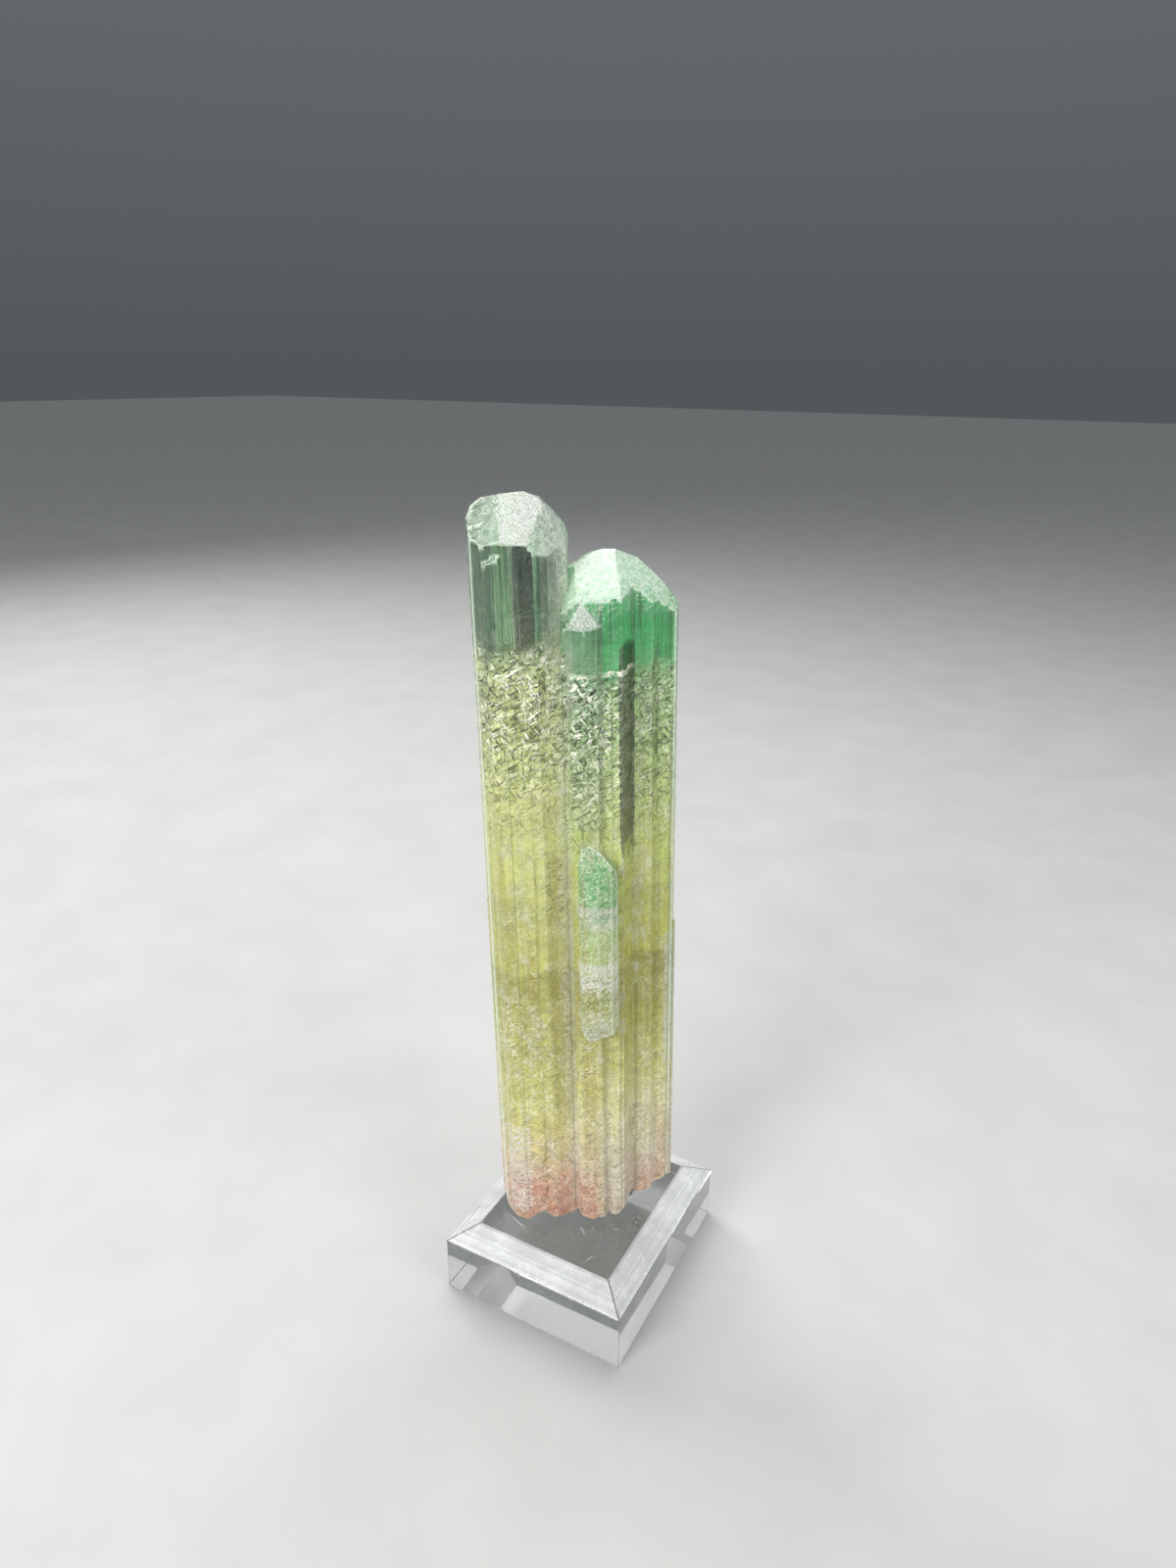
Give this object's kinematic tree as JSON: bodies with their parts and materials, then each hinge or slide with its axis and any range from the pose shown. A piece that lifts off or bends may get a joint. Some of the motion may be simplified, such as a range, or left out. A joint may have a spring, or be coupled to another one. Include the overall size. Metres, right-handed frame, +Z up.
{
  "type": "mineral specimen",
  "caption": "Green to yellow to pink watermelon tourmaline crystal group, broken at the foot, fixed upright on a clear bevelled acrylic block.",
  "frame": {"origin": "middle of the block's flat underside", "axes": "+Z up along the crystal, X along the block's shorter sides and Y along its longer sides; the crystal's broad front looks towards +X and -Y, 28 degrees round from -Y"},
  "size_m": [0.0254, 0.029, 0.1022],
  "materials": {
    "tourmaline": "see-through crystal, mint and emerald green at the top, olive yellow in the middle, pink at the foot, full of white fractures",
    "acrylic": "clear polished acrylic with satin bevels and light scratches",
    "adhesive": "clear set adhesive, slightly cloudy"
  },
  "bodies": {
    "root": {"tourmaline_crystal": "tourmaline", "display_block": "acrylic", "adhesive_pad": "adhesive"}
  },
  "joints": []
}
